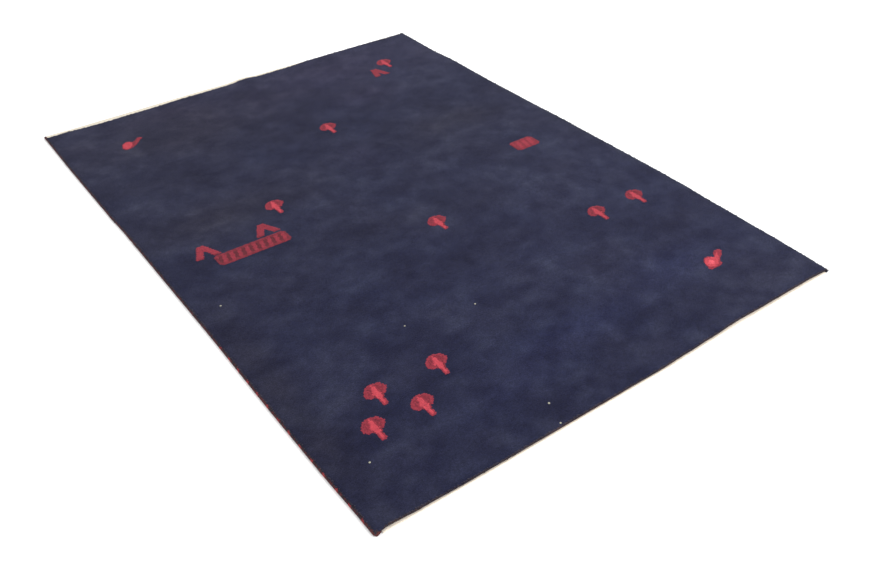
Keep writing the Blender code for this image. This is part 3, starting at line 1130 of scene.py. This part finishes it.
def make_strip(name, end, left, widths, material):
    """A flat-woven strip across one end, which is 1 at the far end and -1 at the near one."""
    x = np.arange(left, FIELD_HALF_WIDTH, WARP_PITCH)
    inner = lay(x, end * FIELD_HALF_LENGTH, 0.0)
    inner[:, 1] += end * PIECE_GAP
    outer_y = FIELD_CENTRE_Y + end * (FIELD_HALF_LENGTH + stand_out(widths, x))
    picks = int(np.abs(outer_y - inner[:, 1]).max() / WEFT_PITCH)
    share = np.linspace(0.0, 1.0, picks + 1)[:, None]
    y = inner[:, 1] + share * (outer_y - inner[:, 1])
    row, column = np.meshgrid(np.arange(picks + 1), np.arange(len(x)), indexing="ij")
    over = np.where((row + column) % 2 == 0, 1.0, -1.0)
    rng = np.random.default_rng(SEED + 40 + end)
    edge_round = EDGE_ROUND * smooth_step((share - 1 + EDGE_ROUND_SHARE) / EDGE_ROUND_SHARE)
    relief = THREAD_RELIEF * over + rng.normal(0, THREAD_SCATTER, over.shape)
    height = STRIP_THICKNESS - edge_round - STRIP_TOP_CLEARANCE + relief
    lift = inner[:, 2]
    top = np.stack((inner[:, 0] + 0 * y, y, height + lift), axis=-1)
    under = np.stack((inner[:, 0] + 0 * y, y, STRIP_UNDERSIDE + lift + 0 * y), axis=-1)
    weft_shade = rng.uniform(*WEFT_SHADE, (picks + 1, 1))
    # Painted shade: a little darker where a thread dips
    shade = weft_shade * (1 - THREAD_PAINTED_SHADE + THREAD_PAINTED_SHADE * over)
    # The near strip takes the cream that is painted lighter: painted light
    dye_and_shade = np.array(CREAM if end > 0 else NEAR_CREAM_PAINTED_LIGHTER) * shade[..., None]
    if end < 0:
        red_reach = np.exp(-(((x - RED_WEFT_X) / RED_WEFT_REACH) ** 4)) * (share * picks < RED_WEFT_PICKS)
        dye_and_shade = dye_and_shade + red_reach[..., None] * (np.array(WEFT_RED) - dye_and_shade)
        top, under, dye_and_shade = top[::-1], under[::-1], dye_and_shade[::-1]
    return closed_sheet(name, top, under, dye_and_shade, dye_and_shade, material)


# Stage, lights and camera


FLOOR_REACH = 12.0
FLOOR_COLOUR = (0.96, 0.96, 0.96, 1.0)
WORLD_STRENGTH = 1.2

# Soft lamps: place, size, power in watts, and the point that each looks at
Lamp = namedtuple("Lamp", "name place size power aim")

LAMPS = (
    Lamp("back_right_lamp", (2.6, 2.4, 3.2), 2.6, 75.0, (0.0, 0.0, 0.0)),
    Lamp("front_right_lamp", (1.7, -2.9, 2.4), 2.2, 60.0, (0.3, -0.3, 0.0)),
)


def make_floor():
    """A plain pale floor."""
    mesh = bpy.data.meshes.new("floor")
    corners = [(FLOOR_REACH * x, FLOOR_REACH * y, 0) for x, y in ((-1, -1), (1, -1), (1, 1), (-1, 1))]
    mesh.from_pydata(corners, [], [(0, 1, 2, 3)])
    floor = bpy.data.objects.new("floor", mesh)
    bpy.context.collection.objects.link(floor)
    tree = Tree("floor_paint")
    tree.shader.inputs["Base Color"].default_value = FLOOR_COLOUR
    tree.shader.inputs["Roughness"].default_value = 1.0
    tree.shader.inputs["Specular IOR Level"].default_value = 0.0
    mesh.materials.append(tree.material)


def make_lamp(lamp):
    """A large soft lamp that looks at a point."""
    light = bpy.data.lights.new(lamp.name, "AREA")
    light.shape = "DISK"
    light.size = lamp.size
    light.energy = lamp.power
    away = np.array(lamp.place) - np.array(lamp.aim)
    away = away / np.linalg.norm(away)
    side = np.cross((0, 0, 1), away)
    side = side / np.linalg.norm(side)
    axes = np.column_stack((side, np.cross(away, side), away))
    thing = bpy.data.objects.new(lamp.name, light)
    thing.matrix_world = Matrix.Translation(lamp.place) @ Matrix(axes.tolist()).to_4x4()
    bpy.context.collection.objects.link(thing)


def make_world():
    """Even pale surroundings."""
    world = bpy.data.worlds.new("surroundings")
    world.use_nodes = True
    background = world.node_tree.nodes["Background"]
    background.inputs["Color"].default_value = (1.0, 1.0, 1.0, 1.0)
    background.inputs["Strength"].default_value = WORLD_STRENGTH
    bpy.context.scene.world = world


def make_camera():
    """The photograph's viewpoint."""
    yaw, pitch, roll = (math.radians(turn) for turn in (CAMERA_YAW, CAMERA_PITCH, CAMERA_ROLL))
    level_share = math.cos(pitch)
    ahead = np.array((math.sin(yaw) * level_share, math.cos(yaw) * level_share, -math.sin(pitch)))
    level = np.array((math.cos(yaw), -math.sin(yaw), 0.0))
    up = np.cross(level, ahead)
    right = level * math.cos(roll) + up * math.sin(roll)
    top = -level * math.sin(roll) + up * math.cos(roll)
    place = np.array(CAMERA_PLACE) + (FIELD_CENTRE_X, FIELD_CENTRE_Y, 0.0)
    data = bpy.data.cameras.new("camera")
    data.lens = CAMERA_LENS_MM
    data.sensor_width = CAMERA_SENSOR_MM
    data.sensor_fit = "HORIZONTAL"
    camera = bpy.data.objects.new("camera", data)
    axes = np.column_stack((right, top, -ahead))
    camera.matrix_world = Matrix.Translation(place.tolist()) @ Matrix(axes.tolist()).to_4x4()
    bpy.context.collection.objects.link(camera)
    bpy.context.scene.camera = camera


def make_rug():
    """Every piece of the rug, each in place of its solid."""
    pile_wool = pile_material("pile_wool", 0.085)
    tuft_wool = yarn_material("tuft_wool", 1500.0, 0.12)
    motif_wool = yarn_material("motif_wool", 1500.0, 0.02)
    back_wool = back_material("back_wool")
    cord_wool = yarn_material("cord_wool", 900.0, 0.08)
    strip_wool = yarn_material("strip_wool", 1100.0, 0.05)

    pile = make_pile(pile_wool, back_wool)
    rim = make_rim_tufts(tuft_wool)
    motifs = make_motifs(motif_wool)
    loops = make_motif_loops(motif_wool)
    left = make_cord("cord_left", -1, LEFT_NEAR_END, LEFT_FAR_END, left_wraps, cord_wool)
    right = make_cord("cord_right", 1, RIGHT_NEAR_END, RIGHT_FAR_END, right_wraps, cord_wool)
    near = make_strip("strip_near", -1, NEAR_STRIP_LEFT, NEAR_STRIP, strip_wool)
    far = make_strip("strip_far", 1, -FIELD_HALF_WIDTH, FAR_STRIP, strip_wool)

    for piece, node, slot in (
        (pile, "pile_field", "navy_wool"),
        (left, "selvedge_left", "red_and_navy_wrap"),
        (right, "selvedge_right", "dark_wrap"),
        (near, "end_weave_near", "cream_wool"),
        (far, "end_weave_far", "cream_wool"),
    ):
        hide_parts(node)


bpy.context.scene.view_settings.view_transform = "Standard"
make_rug()
make_floor()
make_world()
for lamp in LAMPS:
    make_lamp(lamp)
make_camera()
